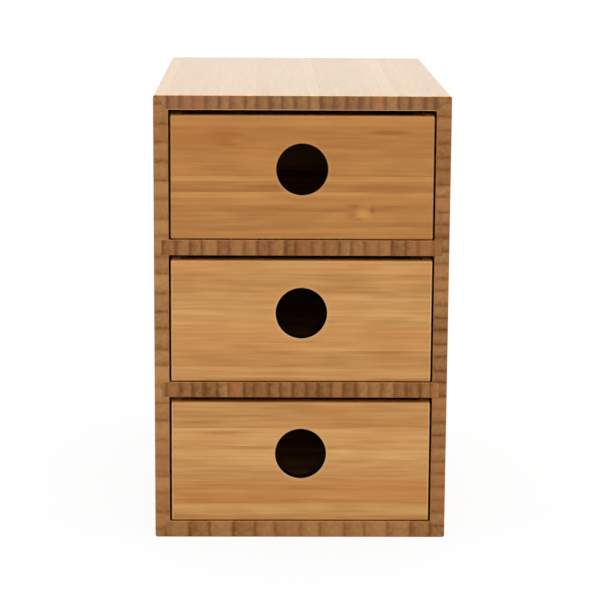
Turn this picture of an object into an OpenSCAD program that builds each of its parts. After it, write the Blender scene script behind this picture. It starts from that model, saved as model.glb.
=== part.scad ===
// Desktop mini drawers: a mitred bamboo case with three bays and three lapped drawer boxes.
// +Z is up, the drawers open towards -Y, and the origin is the middle of the footprint.

/* [Case] */
// Outside width of the case
case_w = 150; // [120:1:260]
// Outside depth of the case, front to back
case_d = 240; // [160:1:360]
// Clear height of each drawer bay
bay_h = 66; // [50:0.5:120]
// Thickness of the side boards and of the top board
wall_t = 7.5; // [6:0.1:12]
// Thickness of the base board
base_t = 8.4; // [6:0.1:12]
// Thickness of each shelf
shelf_t = 7.8; // [5:0.1:12]
// Depth of the housings in the side boards that take the shelf ends
housing_depth = 3.5; // [2:0.1:4.5]
// Thickness of the back panel
back_t = 4; // [3:0.1:8]
// Depth of the rebate round the back that takes the edges of the back panel
back_rebate = 3.5; // [2:0.1:4.5]

/* [Drawers] */
// Thickness of a drawer front
front_t = 7.5; // [6.5:0.1:12]
// Thickness of a drawer's sides and back
box_t = 5; // [4:0.1:8]
// Wood left in front of a drawer side at the lapped corner
lap_t = 3; // [2:0.1:3.5]
// Depth of the rebate in a drawer side that takes the drawer back
back_lap = 2.5; // [1.5:0.1:3]
// Thickness of a drawer's base panel
panel_t = 3; // [2:0.1:5]
// Height of the base panel's underside above the drawer's lower edge
panel_rise = 3; // [2:0.1:8]
// Depth of the groove that takes the edges of the base panel
groove_depth = 2.5; // [1.5:0.1:3]
// Diameter of the finger hole
hole_d = 26; // [16:0.5:32]
// Distance from the front's upper edge down to the middle of the finger hole
hole_drop = 27.3; // [20:0.1:30]

/* [Fits] */
// How far a closed drawer's front sits behind the front edge of the case
front_setback = 0.6; // [0:0.1:3]
// Gap between a drawer and the case at each side
side_gap = 0.9; // [0.5:0.1:3]
// Gap above a closed drawer
top_gap = 2.6; // [0.8:0.1:4]
// Gap between a drawer's sides and the board that they glide on
glide_gap = 0.1; // [0.1:0.05:0.5]
// Gap under a drawer front, so that it doesn't scrape
front_lift = 0.4; // [0.2:0.05:1]
// Gap between a closed drawer and the back panel that stops it
stop_gap = 0.3; // [0.1:0.1:2]
// Thickness of the glue line in the joints of the case
glue_line = 0.1; // [0.05:0.01:0.2]
// Play of a drawer's base panel in its groove, at each edge
panel_play = 0.2; // [0.1:0.05:0.5]

/* [Edges] */
// Radius of the long outside corners of the case
corner_r = 1.5; // [0.5:0.1:3]
// Radius of the eased arrises of the case boards
arris_r = 0.6; // [0.3:0.1:1.2]
// Radius of the eased arrises of the shelves
shelf_arris_r = 0.4; // [0.2:0.1:1.2]
// Radius of the eased arrises of the drawer fronts
front_arris_r = 1.1; // [0.3:0.1:1.5]
// Radius of the eased arrises of the other drawer boards
box_arris_r = 0.6; // [0.3:0.1:1]
// Chamfer round both mouths of the finger hole
hole_chamfer = 0.5; // [0.2:0.1:1]

/* [Hidden] */
// Drawers from the base up, and the boards of each
drawer_names = ["lower_drawer", "middle_drawer", "upper_drawer"];
drawer_boards = ["front", "left_side", "right_side", "back", "base"];
case_boards = [
    "top_panel", "bottom_panel", "left_side", "right_side",
    "lower_shelf", "upper_shelf", "back_panel",
];

$fn = 48;
// How far a cutter runs past the face that it cuts
past = 1;

// Case
bays = len(drawer_names);
case_h = base_t + bays * bay_h + (bays - 1) * shelf_t + wall_t;
inner_w = case_w - 2 * wall_t;
inner_h = case_h - base_t - wall_t;
inner_d = case_d - back_t;
shelf_d = inner_d - glue_line;
// Sideways shift of a mitre face that leaves half a glue line on each side of the joint
mitre_shift = glue_line / sqrt(2);

// Drawers, measured from the middle of the front's face at the level of the bay's floor
drawer_w = inner_w - 2 * side_gap;
drawer_l = inner_d - front_setback - stop_gap;
drawer_top = bay_h - top_gap;
front_h = drawer_top - front_lift;
wall_h = drawer_top - glide_gap;
box_inner_w = drawer_w - 2 * box_t;
panel_z = glide_gap + panel_rise;
hole_z = drawer_top - hole_drop;

// Colours
face_bamboo = [0.76, 0.55, 0.32];
edge_bamboo = [0.60, 0.41, 0.25];
pale_bamboo = [0.90, 0.80, 0.64];

// Level of the floor of a bay, counted from the base up
function bay_floor(bay) = base_t + bay * (bay_h + shelf_t);

// Rectangle from the origin with true arcs at its corners
module rounded_rect(w, h, r) {
    translate([r, 0]) square([w - 2 * r, h]);
    translate([0, r]) square([w, h - 2 * r]);
    for (x = [r, w - r], y = [r, h - r]) translate([x, y]) circle(r = r);
}

// Extrudes an outline drawn in X and Z backwards along +Y
module extrude_back(length) {
    translate([0, length, 0]) rotate([90, 0, 0]) linear_extrude(length) children();
}

// Extrudes an outline drawn in Y and Z sideways along +X
module extrude_across(length) {
    rotate([90, 0, 90]) linear_extrude(length) children();
}

// Board from the origin with every arris eased
module eased_board(size, r) {
    intersection() {
        extrude_across(size.x) rounded_rect(size.y, size.z, r);
        extrude_back(size.y) rounded_rect(size.x, size.z, r);
        linear_extrude(size.z) rounded_rect(size.x, size.y, r);
    }
}

// The outside of the case seen from the front
module case_outline() {
    translate([-case_w / 2, 0]) rounded_rect(case_w, case_h, corner_r);
}

// Room for the back panel, with a glue line all round
module back_pocket() {
    w = inner_w + 2 * back_rebate;
    h = inner_h + 2 * back_rebate;
    translate([-w / 2, case_d / 2 - back_t, base_t - back_rebate]) cube([w, back_t + past, h]);
}

// Room for the shelf ends in a side board
module shelf_housings() {
    w = inner_w + 2 * housing_depth;
    for (bay = [1 : bays - 1])
        translate([-w / 2, -case_d / 2 - past, bay_floor(bay) - shelf_t])
            cube([w, past + shelf_d, shelf_t]);
}

module top_panel() {
    outer = case_w / 2 - mitre_shift;
    inner = outer - wall_t;
    color(pale_bamboo) difference() {
        intersection() {
            translate([0, -case_d / 2, 0]) extrude_back(case_d) intersection() {
                case_outline();
                polygon([[-outer, case_h], [outer, case_h],
                         [inner, case_h - wall_t], [-inner, case_h - wall_t]]);
            }
            translate([-case_w / 2, -case_d / 2, case_h - wall_t])
                extrude_across(case_w) rounded_rect(case_d, wall_t, arris_r);
        }
        back_pocket();
    }
}

module bottom_panel() {
    outer = case_w / 2 - mitre_shift;
    inner = outer - wall_t;
    color(edge_bamboo) difference() {
        intersection() {
            translate([0, -case_d / 2, 0]) extrude_back(case_d) intersection() {
                case_outline();
                polygon([[-outer, 0], [outer, 0], [inner, base_t], [-inner, base_t]]);
            }
            translate([-case_w / 2, -case_d / 2, 0])
                extrude_across(case_w) rounded_rect(case_d, base_t, arris_r);
        }
        back_pocket();
    }
}

// The side board on +X
module side_board() {
    difference() {
        intersection() {
            translate([0, -case_d / 2, 0]) extrude_back(case_d) intersection() {
                case_outline();
                polygon([[case_w / 2, mitre_shift], [case_w / 2, case_h - mitre_shift],
                         [inner_w / 2, case_h - wall_t - mitre_shift],
                         [inner_w / 2, base_t + mitre_shift]]);
            }
            translate([inner_w / 2, -case_d / 2, 0])
                linear_extrude(case_h) rounded_rect(wall_t, case_d, arris_r);
        }
        shelf_housings();
        back_pocket();
    }
}

module right_side() {
    color(face_bamboo) side_board();
}

module left_side() {
    color(face_bamboo) mirror([1, 0, 0]) side_board();
}

// Shelf that carries the drawer in the given bay
module shelf(bay) {
    w = inner_w + 2 * (housing_depth - glue_line);
    color(edge_bamboo)
        translate([-w / 2, -case_d / 2, bay_floor(bay) - shelf_t])
            extrude_across(w) rounded_rect(shelf_d, shelf_t, shelf_arris_r);
}

module lower_shelf() {
    shelf(1);
}

module upper_shelf() {
    shelf(2);
}

module back_panel() {
    w = inner_w + 2 * (back_rebate - glue_line);
    h = inner_h + 2 * (back_rebate - glue_line);
    color(face_bamboo)
        translate([-w / 2, case_d / 2 - back_t, base_t - back_rebate + glue_line])
            eased_board([w, back_t, h], arris_r);
}

// Puts a drawer board into a bay
module in_bay(bay) {
    translate([0, -case_d / 2 + front_setback, bay_floor(bay)]) children();
}

// Room for the edges of a drawer's base panel, cut into all four walls
module panel_groove() {
    w = box_inner_w + 2 * groove_depth;
    front = front_t - groove_depth;
    rear = drawer_l - box_t + groove_depth;
    translate([-w / 2, front, panel_z]) cube([w, rear - front, panel_t + panel_play]);
}

// Finger hole along Y, chamfered at both faces of the front
module finger_hole() {
    translate([0, 0, hole_z]) rotate([-90, 0, 0]) {
        translate([0, 0, -past]) cylinder(d = hole_d, h = front_t + 2 * past);
        cylinder(d1 = hole_d + 2 * hole_chamfer, d2 = hole_d, h = hole_chamfer);
        translate([0, 0, front_t - hole_chamfer])
            cylinder(d1 = hole_d, d2 = hole_d + 2 * hole_chamfer, h = hole_chamfer);
    }
}

module drawer_front() {
    color(face_bamboo) difference() {
        translate([-drawer_w / 2, 0, front_lift])
            eased_board([drawer_w, front_t, front_h], front_arris_r);
        for (x = [-drawer_w / 2 - past, box_inner_w / 2])
            translate([x, lap_t, front_lift - past])
                cube([box_t + past, front_t - lap_t + past, front_h + 2 * past]);
        panel_groove();
        finger_hole();
    }
}

// The drawer side on +X
module drawer_side() {
    color(face_bamboo) difference() {
        translate([box_inner_w / 2, lap_t, glide_gap])
            eased_board([box_t, drawer_l - lap_t, wall_h], box_arris_r);
        translate([box_inner_w / 2 - past, drawer_l - box_t, glide_gap - past])
            cube([back_lap + past, box_t + past, wall_h + 2 * past]);
        panel_groove();
    }
}

module drawer_back() {
    w = box_inner_w + 2 * back_lap;
    color(face_bamboo) difference() {
        translate([-w / 2, drawer_l - box_t, glide_gap])
            eased_board([w, box_t, wall_h], box_arris_r);
        panel_groove();
    }
}

module drawer_base() {
    w = box_inner_w + 2 * (groove_depth - panel_play);
    front = front_t - groove_depth + panel_play;
    rear = drawer_l - box_t + groove_depth - panel_play;
    color(pale_bamboo) translate([-w / 2, front, panel_z]) cube([w, rear - front, panel_t]);
}

top_panel();
bottom_panel();
left_side();
right_side();
lower_shelf();
upper_shelf();
back_panel();
for (bay = [0 : bays - 1]) {
    name = drawer_names[bay];
    in_bay(bay) drawer_front();
    in_bay(bay) mirror([1, 0, 0]) drawer_side();
    in_bay(bay) drawer_side();
    in_bay(bay) drawer_back();
    in_bay(bay) drawer_base();
}
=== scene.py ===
"""Desktop mini drawers in laminated bamboo: board finishes, drawer fronts, light and camera.

Lengths are metres in the row frame, unless a name ends in _mm or the words beside it say millimetres.
"""

import math

import bpy
import numpy as np
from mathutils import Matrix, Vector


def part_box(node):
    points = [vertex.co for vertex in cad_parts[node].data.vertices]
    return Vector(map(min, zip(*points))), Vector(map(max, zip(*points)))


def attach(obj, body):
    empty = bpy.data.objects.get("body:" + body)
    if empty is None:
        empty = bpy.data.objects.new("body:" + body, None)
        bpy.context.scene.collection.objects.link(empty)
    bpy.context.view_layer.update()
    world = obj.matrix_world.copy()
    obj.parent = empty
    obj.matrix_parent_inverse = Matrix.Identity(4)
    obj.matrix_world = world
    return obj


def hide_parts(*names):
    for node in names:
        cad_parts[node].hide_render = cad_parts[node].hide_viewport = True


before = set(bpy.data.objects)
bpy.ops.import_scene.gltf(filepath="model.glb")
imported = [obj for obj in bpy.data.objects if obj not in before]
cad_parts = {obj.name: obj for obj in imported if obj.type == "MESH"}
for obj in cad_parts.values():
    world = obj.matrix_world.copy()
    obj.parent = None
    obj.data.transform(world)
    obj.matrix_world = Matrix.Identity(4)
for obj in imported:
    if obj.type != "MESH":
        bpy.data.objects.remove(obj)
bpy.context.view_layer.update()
MM = 0.001
X, Y, Z = 0, 1, 2
DRAWERS = ("lower_drawer", "middle_drawer", "upper_drawer")


def add_object(name, data):
    """A new object in the scene, such as a mesh, a lamp or a camera."""
    made = bpy.data.objects.new(name, data)
    bpy.context.scene.collection.objects.link(made)
    return made


# ---------------------------------------------------------------- node trees


class Nodes:
    """A node tree under construction. The methods after node() return an output socket of a new node."""

    def __init__(self, tree):
        self.tree = tree
        tree.nodes.clear()

    def node(self, kind, inputs=(), **settings):
        """A node of one kind; inputs maps socket names or numbers to values or to other sockets."""
        made = self.tree.nodes.new(kind)
        for key, value in settings.items():
            setattr(made, key, value)
        for key, value in dict(inputs).items():
            if isinstance(value, bpy.types.NodeSocket):
                self.tree.links.new(value, made.inputs[key])
            else:
                made.inputs[key].default_value = value
        return made

    def math(self, operation, a, b=0.0, c=0.0, clamp=False):
        made = self.node("ShaderNodeMath", {0: a, 1: b, 2: c}, operation=operation, use_clamp=clamp)
        return made.outputs[0]

    def add(self, *values):
        total = values[0]
        for value in values[1:]:
            total = self.math("ADD", total, value)
        return total

    def times(self, a, b):
        return self.math("MULTIPLY", a, b)

    def squares(self, a, b):
        """The sum of two squares."""
        return self.add(self.times(a, a), self.times(b, b))

    def scaled(self, value, gain, offset=0.0):
        return self.math("MULTIPLY_ADD", value, gain, offset)

    def clamped(self, value):
        return self.math("MULTIPLY", value, 1.0, clamp=True)

    def step(self, value, low, high, out_low=0.0, out_high=1.0):
        """value taken smoothly from out_low at low to out_high at high."""
        inputs = {0: value, 1: low, 2: high, 3: out_low, 4: out_high}
        return self.node("ShaderNodeMapRange", inputs, interpolation_type="SMOOTHSTEP").outputs[0]

    def fade(self, value, reach, strength=1.0):
        """strength up to the first value of reach, and smoothly down to nothing at the second."""
        return self.step(value, *reach, strength, 0.0)

    def swing(self, value, contrast, levels=(0.3, 0.7)):
        """From half the contrast below zero to half above it, as value goes from one level to the other."""
        return self.scaled(self.step(value, *levels), contrast, -contrast / 2)

    def vector(self, x, y, z):
        return self.node("ShaderNodeCombineXYZ", {0: x, 1: y, 2: z}).outputs[0]

    def noise(self, x, y, z, detail=2.0, roughness=0.5):
        inputs = {"Vector": self.vector(x, y, z), "Scale": 1.0, "Detail": detail, "Roughness": roughness}
        return self.node("ShaderNodeTexNoise", inputs).outputs["Fac"]

    def random(self, value):
        """Three random numbers that stay the same for the same value."""
        made = self.node("ShaderNodeTexWhiteNoise", {"W": value}, noise_dimensions="1D")
        return self.node("ShaderNodeSeparateColor", {0: made.outputs["Color"]}).outputs[:]

    def ramp(self, value, stops, interpolation):
        """Grey levels at the given places, each stop a pair of place and level."""
        made = self.node("ShaderNodeValToRGB", {0: value})
        made.color_ramp.interpolation = interpolation
        elements = made.color_ramp.elements
        for number, (place, level) in enumerate(stops):
            # A new ramp comes with two stops
            element = elements[number] if number < 2 else elements.new(place)
            element.position = place
            element.color = (level, level, level, 1.0)
        return made.outputs[0]

    def mix(self, share, a, b):
        """A colour: a at share 0 and b at share 1."""
        return self.node("ShaderNodeMix", {0: share, 6: a, 7: b}, data_type="RGBA").outputs[2]


class Finish(Nodes):
    """A material under construction."""

    def __init__(self, name):
        self.material = bpy.data.materials.new(name)
        self.material.use_nodes = True
        super().__init__(self.material.node_tree)


def rgb(*levels):
    """A base colour as a shader takes it, from three screen values between 0 and 255 by the sRGB curve."""
    return (*(((v / 255 + 0.055) / 1.055) ** 2.4 if v > 10 else v / 255 / 12.92 for v in levels), 1.0)


# ---------------------------------------------------------------- bamboo

# Colours of the wood, along the fibres and on the cut ends
FACE = {"light": rgb(204, 155, 90), "dark": rgb(148, 90, 19), "warm": rgb(190, 120, 49)}
BOX_FACE = {"light": rgb(214, 170, 112), "dark": rgb(164, 110, 46), "warm": rgb(204, 142, 78)}
BROWN_FACE = {"light": rgb(188, 133, 62), "dark": rgb(136, 77, 8), "warm": rgb(173, 103, 28)}
# The top's colours: the same wood painted paler, as painted light from above and glare
LIT_TOP_FACE = {"light": rgb(232, 186, 108), "dark": rgb(203, 147, 66), "warm": rgb(228, 159, 82)}
END = {"light": rgb(169, 122, 73), "dark": rgb(104, 61, 24), "warm": rgb(156, 97, 56)}
SCORCHED = rgb(20, 9, 5)
# The paler colour of a rounded arris: a painted highlight on wood that was sanded round
ARRIS_HIGHLIGHT_COLOUR = rgb(242, 206, 150)

# The light colour's share in a middling strip of a face and in the darkest strip of an end, and how far
# each thing there changes that share
FACE_SHARE, END_SHARE = 0.53, 0.18
FACE_CONTRAST = {"strips": 0.48, "fine": 0.06, "streaks": 0.24, "clouds": 0.18, "seams": 0.13}
END_CONTRAST = {"strips": 0.38, "pith": 0.22, "mottle": 0.26, "bundles": 0.12, "seams": 0.25}
# How far the warm colour is mixed in for the hue of a strip on a face and on an end, and in a blush
WARM_FACE, WARM_END, WARM_BLUSH = 0.26, 0.42, 0.16
# Random hues at which a strip begins to be warmer and is at its warmest
WARM_HUES = (0.3, 1.0)

# Noises, with their size as cycles in a millimetre along the fibres and across them
SWAY = (0.008, 0.04)
BLUSH = (0.016, 0.06)
FINE = {"size": (0.04, 2.2), "detail": 3.0, "roughness": 0.55}
STREAKS = {"size": (0.022, 0.6)}
CLOUDS = {"size": (0.045, 0.22), "detail": 1.0}
# Cycles in a millimetre of the breaks in a seam along the board, and on a cut end of the mottle across
# the strips and through the board, and of the vessel bundles
BREAKS = 0.03
MOTTLE = (0.45, 0.35)
BUNDLES = 1.6

# Levels of their noise between which a seam and a blush come out, and clouds and bundles change
SEAM_LEVELS, BLUSH_LEVELS = (0.42, 0.6), (0.42, 0.62)
CLOUD_LEVELS, BUNDLE_LEVELS = (0.28, 0.72), (0.1, 0.6)
# Shares of the way through a strip over which its cut end lightens and darkens, and how light it stays
PITH_RISE, PITH_FALL, PITH_REST = (0.0, 0.6), (0.8, 1.0), 0.4

# Millimetres over which things fade: from a seam on a face and on an end, from a joint of the cane for
# its line and its shade, and outwards from a bore's wall for the scorching and the pale ring round it, a
# painted highlight
SEAM_ON_FACE, SEAM_ON_END = (0.1, 0.6), (0.1, 1.6)
JOINT_LINE, JOINT_SHADE = (0.5, 2.2), (0.0, 14.0)
SCORCHING, RIM_HIGHLIGHT_REACH = (0.02, 0.35), (0.6, 2.2)
# Strength of a joint's shade beside its line, and of the ring's painted highlight
SHADE, RIM_HIGHLIGHT_SHARE = 0.3, 0.35
# Millimetres by which the fibres make the joints ragged
RAGGED_MM = 2.0
# How squarely a rounding faces along the nearest axis, and how far it is turned along the fibres
ASKEW, TURNED = (0.94, 0.998), (0.02, 0.12)

# The sine that moves the seams: its turn in radians from strip to strip, and its share of a strip
SEAM_TURN, SEAM_SHARE = 2.7, 0.07
# Millimetres by which the fibres sway in all, and the share of a mark's half height that they part by
SWAY_MM = 2.4
PARTING = 0.8
# Most millimetres by which the fibres of one strip are shifted from those of another
SLIDE_MM = 400.0
# Distance in millimetres between the joints of a cane, which cross each strip as a thin dark line
JOINTS_MM = 240.0
# Relief of the wood in millimetres, how strongly it turns the light, and its shares for the height of the
# fibres and the depth of the seams
RELIEF_MM, RELIEF = 0.05, 0.07
FIBRE_HEIGHT, SEAM_DEPTH = 0.6, 0.4
# What one seed adds to the places of the noises, and what a second noise of the same kind adds
SEED_STEP, SECOND = 37.0, 5.0

# The clear lacquer over the wood. Cut ends drink most of it.
LACQUER_IOR = 1.45
LACQUER_ROUGHNESS = 0.10
LACQUER_ON_ENDS = 0.25
# Roughness of the wood, and what dense fibres and cut ends add to it
ROUGHNESS, FIBRE_ROUGHNESS, END_ROUGHNESS = 0.45, 0.12, 0.12


def even(width, seam=0.0):
    """A pattern of strips of about one width with random tones. One seam is near the place called seam.

    A sine of the strips' count moves each seam, by less than a tenth of a strip.
    """

    def pattern(f, across, shift):
        count = f.scaled(across, 1 / width, -seam / width)
        wave = f.math("SINE", f.scaled(count, SEAM_TURN, shift))
        count = f.add(count, f.times(wave, SEAM_SHARE))
        index = f.math("FLOOR", count)
        return (count, index, *f.random(f.add(index, shift)))

    return pattern, width


def listed(top, strips):
    """A pattern of strips of given (height, tone) from the level called top down."""
    total = sum(height for height, _ in strips)
    share = 1 / len(strips)

    def pattern(f, across, shift):
        edges = np.cumsum([0.0] + [height for height, _ in strips]) / total
        down = f.scaled(across, -1 / total, top / total)
        count = f.ramp(down, [(edge, number * share) for number, edge in enumerate(edges)], "LINEAR")
        count = f.times(count, float(len(strips)))
        # Below the last strip, the count stays just short of the next one
        index = f.math("FLOOR", f.math("MINIMUM", count, len(strips) - 0.001))
        tones = [(number * share, level) for number, (_, level) in enumerate(strips)]
        tone = f.ramp(f.scaled(index, share, 0.5 * share), tones, "CONSTANT")
        _, hue, slide = f.random(f.add(index, shift))
        return count, index, tone, hue, slide

    return pattern, total * share


class Bamboo(Finish):
    """Laminated bamboo: strips glued side by side along the stack axis, their fibres along the grain axis.

    strips is a pattern and its usual strip width, and seed sets one board apart from another. Places and
    lengths are millimetres along the fibres, across the strips and through the board.
    """

    def __init__(self, name, grain, stack, strips, seed):
        super().__init__(name)
        place = self.node("ShaderNodeTexCoord")
        parts = self.node("ShaderNodeSeparateXYZ", {0: place.outputs["Object"]}).outputs
        axes = (grain, stack, 3 - grain - stack)
        self.along, self.across, self.through = (self.times(parts[axis], 1 / MM) for axis in axes)
        normal = self.node("ShaderNodeSeparateXYZ", {0: place.outputs["Normal"]}).outputs
        facing = [self.math("ABSOLUTE", normal[axis]) for axis in (X, Y, Z)]
        self.endwise = facing[grain]
        self.squarely = self.math("MAXIMUM", self.math("MAXIMUM", facing[X], facing[Y]), facing[Z])

        self.shift = seed * SEED_STEP
        pattern, width = strips
        count, self.index, self.tone, hue, self.slide = pattern(self, self.across, self.shift)
        self.warmth = self.step(hue, *WARM_HUES)
        self.inside = self.math("FRACT", count)
        to_side = self.math("MINIMUM", self.inside, self.math("SUBTRACT", 1.0, self.inside))
        self.to_seam = self.times(to_side, width)

    def drift(self, size, layer):
        """Slow noise that is the same at each depth of the board. Each layer has its own."""
        x, y = self.times(self.along, size[0]), self.times(self.across, size[1])
        return self.noise(x, y, layer, detail=1.0)

    def drawn_out(self, along, across, size, **settings):
        """Noise drawn out along the fibres."""
        x, y, z = self.times(along, size[0]), self.times(across, size[1]), self.times(self.through, size[1])
        return self.noise(x, y, z, **settings)

    def parted(self, marks):
        """Places across the fibres, which sway a little and part round each mark, and the marks' tones.

        A mark fades by exp(-u^2 - v^2), where u and v are the distances from its middle along and across
        the fibres, in half lengths and half heights.
        """
        sway = self.drift(SWAY, self.shift)
        bent = self.add(self.across, self.scaled(sway, SWAY_MM, -SWAY_MM / 2))
        tones = []
        for mark_along, mark_across, half_length, half_height, darkness in marks:
            u = self.scaled(self.along, 1 / half_length, -mark_along / half_length)
            v = self.scaled(self.across, 1 / half_height, -mark_across / half_height)
            spread = self.math("EXPONENT", self.scaled(self.squares(u, v), -1.0))
            bent = self.math("MULTIPLY_ADD", self.times(v, spread), -PARTING * half_height, bent)
            tones.append(self.times(spread, -darkness))
        return bent, tones

    def seams(self):
        """The seams between the strips, which show only here and there along the board."""
        level = self.noise(self.times(self.along, BREAKS), self.index, self.shift)
        return self.times(self.fade(self.to_seam, SEAM_ON_FACE), self.step(level, *SEAM_LEVELS))

    def cane_joints(self, far, fine):
        """A thin line across each strip with a fainter shade on both sides, made ragged by the fibres."""
        distance = self.math("PINGPONG", self.add(far, self.scaled(fine, RAGGED_MM)), JOINTS_MM / 2)
        return self.add(self.fade(distance, JOINT_LINE), self.fade(distance, JOINT_SHADE, SHADE))

    def long_face(self, face, figure, joints, arris_highlight, marks):
        """Colour of the faces along the fibres, and the fine fibres and the seams for the relief."""
        bent, marked = self.parted(marks)
        far = self.add(self.along, self.scaled(self.slide, SLIDE_MM, self.shift))
        fine = self.drawn_out(far, bent, **FINE)
        streaks = self.drawn_out(far, bent, **STREAKS)
        clouds = self.drawn_out(far, bent, **CLOUDS)
        seams = self.seams()
        contrast = {thing: figure * most for thing, most in FACE_CONTRAST.items()}
        share = self.add(
            self.scaled(self.tone, contrast["strips"], FACE_SHARE - contrast["strips"] / 2),
            self.swing(fine, contrast["fine"]),
            self.swing(streaks, contrast["streaks"]),
            self.swing(clouds, contrast["clouds"], CLOUD_LEVELS),
            self.times(seams, -contrast["seams"]),
            self.times(self.cane_joints(far, fine), -joints),
            *marked,
        )
        colour = self.mix(self.clamped(share), face["dark"], face["light"])
        blush = self.step(self.drift(BLUSH, self.shift + SECOND), *BLUSH_LEVELS)
        warm = self.add(self.times(self.warmth, WARM_FACE), self.times(blush, WARM_BLUSH))
        colour = self.mix(warm, colour, face["warm"])
        # An arris is where the surface faces between two axes, one of them along the fibres
        arris = self.times(self.fade(self.squarely, ASKEW), self.step(self.endwise, *TURNED))
        # The arrises are painted paler: a painted highlight on the sanded wood
        return self.mix(self.times(arris, arris_highlight), colour, ARRIS_HIGHLIGHT_COLOUR), fine, seams

    def cut_end(self, end_tone):
        """Colour of the faces that the fibres end on. The dense outer wood of each strip is darker."""
        rise, fall = self.step(self.inside, *PITH_RISE), self.step(self.inside, *PITH_FALL, 1.0, PITH_REST)
        x, y = self.times(self.across, MOTTLE[0]), self.times(self.through, MOTTLE[1])
        mottle = self.noise(x, y, self.index)
        cells = {"Vector": self.vector(self.across, self.through, self.index), "Scale": BUNDLES}
        bundles = self.node("ShaderNodeTexVoronoi", cells).outputs["Distance"]
        share = self.add(
            self.scaled(self.tone, END_CONTRAST["strips"], END_SHARE + end_tone),
            self.times(self.times(rise, fall), END_CONTRAST["pith"]),
            self.swing(mottle, END_CONTRAST["mottle"]),
            self.swing(bundles, END_CONTRAST["bundles"], BUNDLE_LEVELS),
            self.fade(self.to_seam, SEAM_ON_END, -END_CONTRAST["seams"]),
        )
        colour = self.mix(self.clamped(share), END["dark"], END["light"])
        return self.mix(self.times(self.warmth, WARM_END), colour, END["warm"])

    def scorched(self, colour, bore, rim):
        """The colour with a bore's walls scorched and a ring of the colour rim painted round it as a
        highlight, and what is outside it.
        """
        middle_along, middle_across, radius = bore
        u, v = self.scaled(self.along, 1.0, -middle_along), self.scaled(self.across, 1.0, -middle_across)
        distance = self.math("SQRT", self.squares(u, v))
        outside = self.step(distance, *(radius + reach for reach in SCORCHING))
        rim_highlight = self.fade(distance, [radius + reach for reach in RIM_HIGHLIGHT_REACH], RIM_HIGHLIGHT_SHARE)
        return self.mix(outside, SCORCHED, self.mix(rim_highlight, colour, rim)), outside


def bamboo(
    name, grain, stack, strips, seed,
    end_tone=0.0, figure=1.0, face=FACE, joints=0.3, arris_highlight=0.1, marks=(), bore=None,
    coat=1.0, sheen=0.0, squareness=(0.5, 0.85),
):
    """The finish of one board of laminated bamboo, with the first five values as Bamboo takes them.

    end_tone lightens the cut ends, and figure is how strongly the fibres show. joints is how dark the
    joints of the cane are, and arris_highlight is how pale the rounded arrises are painted, a painted
    highlight on sanded wood. marks are joints at chosen places: (along, across, half length, half
    height, darkness). bore is the middle (along, across) and radius of a hole with scorched walls. coat
    is the share of the surface that is lacquered, and sheen is the strength of the dull shine of the
    wood itself. squareness is how squarely a surface must face along the fibres to begin to look like a
    cut end, and to look like nothing else. At the lower default, rounded arrises take the darker colour
    of the cut ends, which paints shade on the arrises of the shelves and the base below the drawer
    fronts. All lengths are millimetres.
    """
    f = Bamboo(name, grain, stack, strips, seed)
    colour, fine, seams = f.long_face(face, figure, joints, arris_highlight, marks)
    # With the lower squareness the rounded arrises count as cut end too: painted shade on the arrises of
    # the shelves and the base
    end_and_shaded_arris = f.step(f.endwise, *squareness)
    colour = f.mix(end_and_shaded_arris, colour, f.cut_end(end_tone))
    lacquer = f.scaled(end_and_shaded_arris, coat * (LACQUER_ON_ENDS - 1), coat)
    if bore:
        colour, outside = f.scorched(colour, bore, face["light"])
        lacquer = f.times(lacquer, outside)
    height = f.add(f.times(fine, FIBRE_HEIGHT), f.times(seams, -SEAM_DEPTH))
    bump = f.node("ShaderNodeBump", {"Strength": RELIEF, "Distance": RELIEF_MM * MM, "Height": height})
    wood = {
        "Base Color": colour,
        "Roughness": f.add(f.scaled(fine, FIBRE_ROUGHNESS, ROUGHNESS), f.times(end_and_shaded_arris, END_ROUGHNESS)),
        "Normal": bump.outputs[0],
        "Specular IOR Level": sheen,
    }
    if coat:
        wood |= {"Coat Weight": lacquer, "Coat IOR": LACQUER_IOR, "Coat Roughness": LACQUER_ROUGHNESS}
    shader = f.node("ShaderNodeBsdfPrincipled", wood)
    f.node("ShaderNodeOutputMaterial", {0: shader.outputs[0]})
    return f.material


def dress(node, material):
    """Gives a board of the frame its finish."""
    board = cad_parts[node]
    board.data.materials.clear()
    board.data.materials.append(material)


# ---------------------------------------------------------------- boards of the case

# The top's colours are painted paler than the other boards, as painted light from above and glare on its
# lacquer, and it has more figure
LIT_TOP = {"figure": 1.25, "face": LIT_TOP_FACE, "joints": 0.15, "sheen": 0.24, "squareness": (0.8, 0.97)}
dress("top_panel", bamboo("top_board", Y, X, even(6.42, seam=2.7), 1, end_tone=-0.17, **LIT_TOP))
dress("bottom_panel", bamboo("base_board", Y, X, even(11.47, seam=-0.6), 2, end_tone=0.06))
dress("left_side", bamboo("left_side_board", Y, Z, even(9.59, seam=109.6), 3, end_tone=0.20))
dress("right_side", bamboo("right_side_board", Y, Z, even(6.86, seam=109.4), 4, end_tone=-0.02))
dress("lower_shelf", bamboo("lower_shelf_board", Y, X, even(6.47, seam=-4.1), 5, end_tone=-0.18))
dress("upper_shelf", bamboo("upper_shelf_board", Y, X, even(6.84, seam=-2.2), 6, end_tone=-0.16))
dress("back_panel", bamboo("back_board", Z, X, even(9.0), 7))

# ---------------------------------------------------------------- drawers

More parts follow.
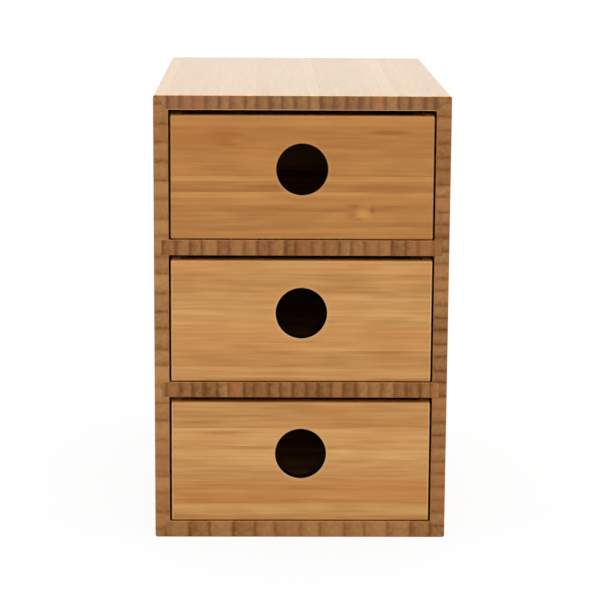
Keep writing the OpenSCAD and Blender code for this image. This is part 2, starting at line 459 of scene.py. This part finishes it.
# A front's shape in millimetres: its size is the node's, and its rear half is as wide as the drawer inside
FRONT_W, FRONT_T, FRONT_H = ((high - low) / MM for low, high in zip(*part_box("lower_drawer_front")))
REAR_W = 2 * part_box("lower_drawer_right_side")[0].x / MM
LAP_T, LEDGE = 3.0, 0.05
HOLE_R, HOLE_DROP = 13.0, 27.3
CORNER_R, ARRIS_R, REAR_ARRIS_R, LIP_R = 1.25, 1.1, 0.6, 0.6
# Distance from the end of a rounding to the row of points that keeps the flat beside it flat
SUPPORT = 0.15
# Points on a rounding and on a corner, and on a side along X and along Z, with both ends counted
ARC_POINTS = 7
SIDE_POINTS = (38, 18)
# Edges that turn by more than this many degrees are shaded sharp
SHARP_TURN = 30.0
# Where the rows of points on the face and on the rear face lie, as shares of the way across
FACE_ROWS, REAR_ROWS = (0.35, 0.7), (0.5,)

# The strips of each front from its upper edge down, as (height in mm, tone)
FRONT_STRIPS = {
    "upper_drawer": [
        (5.4, 0.7), (4.0, 0.3), (7.4, 0.24), (14.0, 0.46), (2.6, 1.0), (1.6, 0.5), (3.8, 0.1),
        (3.0, 0.9), (3.8, 0.6), (3.2, 0.15), (7.6, 0.42), (3.6, 0.5), (3.0, 0.4),
    ],
    "middle_drawer": [
        (7.2, 0.6), (9.5, 0.3), (8.6, 0.55), (8.0, 0.66), (4.4, 0.66),
        (5.0, 0.4), (4.2, 0.7), (8.2, 0.16), (6.0, 0.52), (2.4, 0.1),
    ],
    "lower_drawer": [
        (7.0, 0.25), (6.6, 0.2), (9.8, 0.8), (1.6, 0.4), (5.6, 0.95), (6.2, 0.6),
        (5.2, 0.42), (4.6, 0.16), (5.2, 0.28), (2.0, 0.0), (6.4, 0.75), (3.3, 0.25),
    ],
}
# The joints of the cane on each front, as bamboo() takes them
FRONT_MARKS = {
    "upper_drawer": [
        (42, 210.9, 6.5, 0.8, 1.1), (47.5, 210.7, 7, 0.9, 0.5), (42, 208.5, 9, 0.7, -0.25),
        (30.9, 169.9, 3.6, 2.6, -0.55), (26.4, 173.4, 3.2, 1.0, 0.5), (25.2, 168.8, 2.8, 1.8, 0.4),
        (28.9, 166.9, 1.8, 0.8, 0.4), (35.6, 171, 1.2, 1.9, 0.5), (-38.4, 210.3, 8, 1.0, 0.5),
        (-37, 204.6, 7, 1.2, 0.45), (-38, 207.6, 11, 3.2, 0.12), (-33, 206.5, 3, 1.2, -0.35),
    ],
    "middle_drawer": [(-28, 101, 9, 1.5, 0.3), (38, 112, 7, 2.0, 0.2)],
    "lower_drawer": [(34, 51, 10, 1.2, 0.3), (-40, 55.5, 12, 0.9, 0.35), (22, 47, 5, 1.6, -0.25)],
}
FRONT_FACES = {"upper_drawer": BROWN_FACE, "middle_drawer": FACE, "lower_drawer": FACE}
# How pale the rounded arrises of each front are painted: a painted highlight on sanded wood
FRONT_ARRIS_HIGHLIGHTS = {"upper_drawer": 0.12, "middle_drawer": 0.4, "lower_drawer": 0.4}

# The boards of a drawer behind its front are sanded but not lacquered
RAW = {"face": BOX_FACE, "coat": 0}


def outline(half_w, half_h, corner_r, centre_up):
    """Points round a rectangle with arc corners about the origin, and their outward normals, in x and z.

    A corner is an arc of equal steps. The side between two arcs is split where rays at equal angles from
    the hole's centre, centre_up above the origin, meet it.
    """
    points, normals = [], []
    for k, sign in enumerate(([1, 1], [-1, 1], [-1, -1], [1, -1])):
        turn = np.linspace(0, np.pi / 2, ARC_POINTS) + k * np.pi / 2
        ray = np.column_stack([np.cos(turn), np.sin(turn)])
        corner = np.array(sign) * (np.array([half_w, half_h]) - corner_r) + corner_r * ray
        axis = k % 2
        start = corner[-1] - [0, centre_up]
        stop = start.copy()
        length = 2 * (half_w if axis == 0 else half_h) - 2 * corner_r
        stop[axis] -= np.sign(start[axis]) * length
        level = abs(start[1 - axis])
        angles = np.arctan2([start[axis], stop[axis]], level)
        steps = level * np.tan(np.linspace(*angles, SIDE_POINTS[axis])[1:-1])
        side = np.repeat(corner[-1:], len(steps), axis=0)
        side[:, axis] += steps - start[axis]
        points += [corner, side]
        normals += [ray, np.repeat(ray[-1:], len(steps), axis=0)]
    return np.concatenate(points), np.concatenate(normals)


def front_surface(face_y, middle_z):
    """A drawer front as one closed grid of points, in metres.

    One parameter runs round the front, and each of its values is a ray from the centre of the finger
    hole. The other runs along the section on that ray: out of the hole over its rounded lip, across the
    face, over the rounded arris, back along the edge, in by the lap that takes the drawer side, over the
    rear arris, and across the rear face back into the hole. A rounding by an angle a moves a point by
    r (1 - sin a) one way and by r (1 - cos a) the other.
    """
    centre_up = FRONT_H / 2 - HOLE_DROP
    rim, rim_normal = outline(FRONT_W / 2, FRONT_H / 2, CORNER_R, centre_up)
    back, back_normal = outline(REAR_W / 2, FRONT_H / 2 - LEDGE, CORNER_R, centre_up)
    ray = rim - [0, centre_up]
    ray /= np.linalg.norm(ray, axis=1)[:, None]
    turn = np.linspace(0, np.pi / 2, ARC_POINTS)
    rise, run = 1 - np.sin(turn), 1 - np.cos(turn)

    def hole(radius, depth):
        return [(ray * r + [0, centre_up], y) for r, y in np.broadcast(radius, depth)]

    def edge(inset, depth):
        return [(rim - d * rim_normal, y) for d, y in np.broadcast(inset, depth)]

    def rear(inset, depth):
        return [(back - d * back_normal, y) for d, y in np.broadcast(inset, depth)]

    def between(rows, following, shares):
        (a, y), (b, _) = rows[-1], following[0]
        return [(a + share * (b - a), y) for share in shares]

    rows = hole(HOLE_R + LIP_R * run, LIP_R * rise) + hole(HOLE_R + LIP_R + SUPPORT, 0.0)
    face_end = edge(ARRIS_R + SUPPORT / 2, 0.0)
    rows += between(rows, face_end, FACE_ROWS) + face_end
    rows += edge(ARRIS_R * rise, ARRIS_R * run)
    rows += edge(0.0, np.array([ARRIS_R + SUPPORT, LAP_T - SUPPORT, LAP_T]))
    rows += rear(0.0, np.array([LAP_T, LAP_T + SUPPORT, FRONT_T - REAR_ARRIS_R - SUPPORT]))
    rows += rear(REAR_ARRIS_R * run, FRONT_T - REAR_ARRIS_R * rise) + rear(REAR_ARRIS_R + SUPPORT, FRONT_T)
    hole_end = hole(HOLE_R + LIP_R + SUPPORT, FRONT_T)
    rows += between(rows, hole_end, REAR_ROWS) + hole_end
    rows += hole(HOLE_R + LIP_R * rise, FRONT_T - LIP_R * run)
    rows += hole(HOLE_R, np.array([FRONT_T - LIP_R - SUPPORT, LIP_R + SUPPORT]))
    grid = np.stack([np.column_stack([p[:, 0], np.full(len(p), y), p[:, 1]]) for p, y in rows])
    return grid * MM + [0, face_y, middle_z]


def closed_mesh(name, grid):
    """A mesh from a grid of points that meets itself both ways, with its faces outwards."""
    rows, columns, _ = grid.shape
    r, c = np.meshgrid(np.arange(rows), np.arange(columns), indexing="ij")
    corners = [(r, c), (r, c + 1), (r + 1, c + 1), (r + 1, c)]
    faces = np.stack([(i % rows) * columns + j % columns for i, j in corners], axis=-1).reshape(-1, 4)
    points = grid.reshape(-1, 3)
    a, b, c, d = (points[faces[:, k]] for k in range(4))
    if np.einsum("ij,ij->", a, np.cross(b, c) + np.cross(c, d)) < 0:
        faces = faces[:, ::-1]
    mesh = bpy.data.meshes.new(name)
    mesh.from_pydata(points, [], faces)
    mesh.shade_smooth()
    mesh.set_sharp_from_angle(angle=math.radians(SHARP_TURN))
    return mesh


def show(name, mesh, material, body, replaced):
    """Puts a finished piece on its body, in place of a node."""
    piece = add_object(name, mesh)
    mesh.materials.append(material)
    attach(piece, body)
    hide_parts(replaced)


for number, drawer in enumerate(DRAWERS):
    low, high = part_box(f"{drawer}_front")
    top_mm = high.z / MM
    finish = bamboo(
        f"{drawer}_front_finish",
        X,
        Z,
        listed(top_mm, FRONT_STRIPS[drawer]),
        10 + number,
        face=FRONT_FACES[drawer],
        joints=0.0,
        arris_highlight=FRONT_ARRIS_HIGHLIGHTS[drawer],
        marks=FRONT_MARKS[drawer],
        bore=(0.0, top_mm - HOLE_DROP, HOLE_R),
    )
    mesh = closed_mesh(f"{drawer}_front_board", front_surface(low.y, (low.z + high.z) / 2))
    show(f"{drawer}_front_board", mesh, finish, drawer, f"{drawer}_front")
    dress(f"{drawer}_left_side", bamboo(f"{drawer}_left_board", Y, Z, even(8.0), 20 + number, **RAW))
    dress(f"{drawer}_right_side", bamboo(f"{drawer}_right_board", Y, Z, even(8.0), 30 + number, **RAW))
    dress(f"{drawer}_back", bamboo(f"{drawer}_back_board", X, Z, even(8.0), 40 + number, **RAW))
    dress(f"{drawer}_base", bamboo(f"{drawer}_base_board", X, Y, even(10.0), 50 + number, **RAW))


# ---------------------------------------------------------------- floor, light and camera

FLOOR_COLOUR = (0.85, 0.85, 0.85, 1.0)
FLOOR_POINTS = 96
# The camera of the photograph, found by fitting the case's edges, with its turn in degrees
CAMERA_PLACE = (-0.0198, -1.2372, 0.3355)
CAMERA_TURN = (79.346, -0.349, -0.911)
CAMERA_REACH = 200.0
LENS_MM, SENSOR_MM = 134.0, 36.0


def world_light(fill, backdrop):
    """An even white surround: fill lights the object, and backdrop is what the camera and gloss see."""
    world = bpy.data.worlds.new("studio")
    bpy.context.scene.world = world
    world.use_nodes = True
    sky = Nodes(world.node_tree)
    rays = sky.node("ShaderNodeLightPath").outputs
    seen = sky.math("MAXIMUM", rays["Is Camera Ray"], rays["Is Glossy Ray"])
    seen = sky.math("MAXIMUM", seen, rays["Is Transmission Ray"])
    level = sky.node("ShaderNodeMapRange", {0: seen, 3: fill, 4: backdrop})
    background = sky.node("ShaderNodeBackground", {"Strength": level.outputs[0]})
    sky.node("ShaderNodeOutputWorld", {0: background.outputs[0]})


def sun(name, azimuth, elevation, strength, spread):
    """A soft distant lamp. Azimuth 0 is on the camera's side and 90 on the object's right, in degrees."""
    lamp = bpy.data.lights.new(name, "SUN")
    lamp.energy = strength
    lamp.angle = math.radians(spread)
    add_object(name, lamp).rotation_euler = (math.radians(90 - elevation), 0, math.radians(azimuth))


def floor(radius, whiteness):
    """A round white floor that fills the view. The camera sees it plain white by the share whiteness."""
    mesh = bpy.data.meshes.new("floor")
    turn = np.linspace(0, 2 * np.pi, FLOOR_POINTS, endpoint=False)
    rim = np.column_stack([radius * np.cos(turn), radius * np.sin(turn), np.zeros(FLOOR_POINTS)])
    mesh.from_pydata(rim, [], [range(FLOOR_POINTS)])
    f = Finish("floor")
    matt = f.node("ShaderNodeBsdfDiffuse", {"Color": FLOOR_COLOUR})
    white = f.node("ShaderNodeEmission", {"Strength": 1.0})
    path = f.node("ShaderNodeLightPath")
    seen = f.times(path.outputs["Is Camera Ray"], whiteness)
    mixed = f.node("ShaderNodeMixShader", {0: seen, 1: matt.outputs[0], 2: white.outputs[0]})
    f.node("ShaderNodeOutputMaterial", {0: mixed.outputs[0]})
    mesh.materials.append(f.material)
    add_object("floor", mesh)


def camera():
    """The camera, which sees the object as the photograph does."""
    data = bpy.data.cameras.new("camera")
    data.lens = LENS_MM
    data.sensor_width = SENSOR_MM
    data.clip_end = CAMERA_REACH
    holder = add_object("camera", data)
    holder.location = CAMERA_PLACE
    holder.rotation_euler = [math.radians(angle) for angle in CAMERA_TURN]
    bpy.context.scene.camera = holder


camera()
world_light(fill=0.25, backdrop=1.0)
sun("front", azimuth=12, elevation=26, strength=1.12, spread=50)
sun("overhead", azimuth=180, elevation=80, strength=2.45, spread=60)
sun("left", azimuth=-70, elevation=15, strength=0.88, spread=40)
sun("right", azimuth=70, elevation=15, strength=0.9, spread=40)
floor(radius=30.0, whiteness=0.9)
bpy.context.scene.view_settings.view_transform = "Standard"
